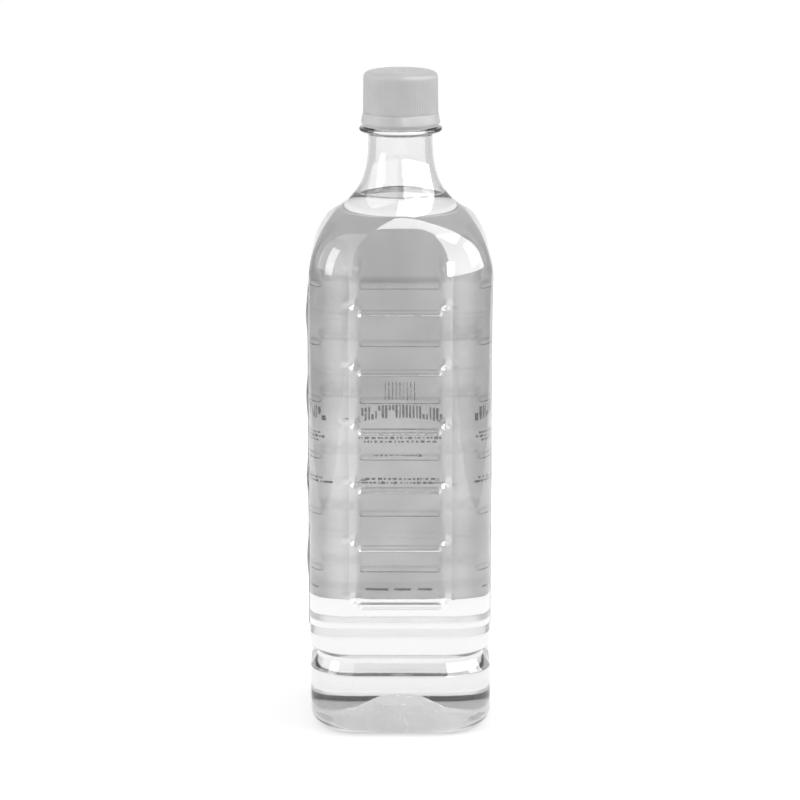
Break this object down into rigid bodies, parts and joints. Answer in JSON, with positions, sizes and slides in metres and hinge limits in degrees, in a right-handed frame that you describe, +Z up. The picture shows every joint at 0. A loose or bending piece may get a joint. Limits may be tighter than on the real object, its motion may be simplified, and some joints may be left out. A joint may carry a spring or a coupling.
{
  "type": "herbal distillate bottle",
  "caption": "Square clear PET bottle of herbal distillate with rounded shoulders, slender neck, slotted faces, white ribbed screw cap and a wrap label on back and sides.",
  "frame": {"origin": "centre of the ring the bottle stands on", "axes": "+Z up along the bottle's axis, front face towards -Y, label on the +Y side"},
  "size_m": [0.0756, 0.0743, 0.265],
  "materials": {
    "pet": "clear gloss",
    "distillate": "clear liquid",
    "cap_plastic": "satin",
    "label_film": "satin"
  },
  "bodies": {
    "root": {"bottle": "pet", "distillate": "distillate", "cap": "cap_plastic", "label": "label_film"}
  },
  "joints": []
}
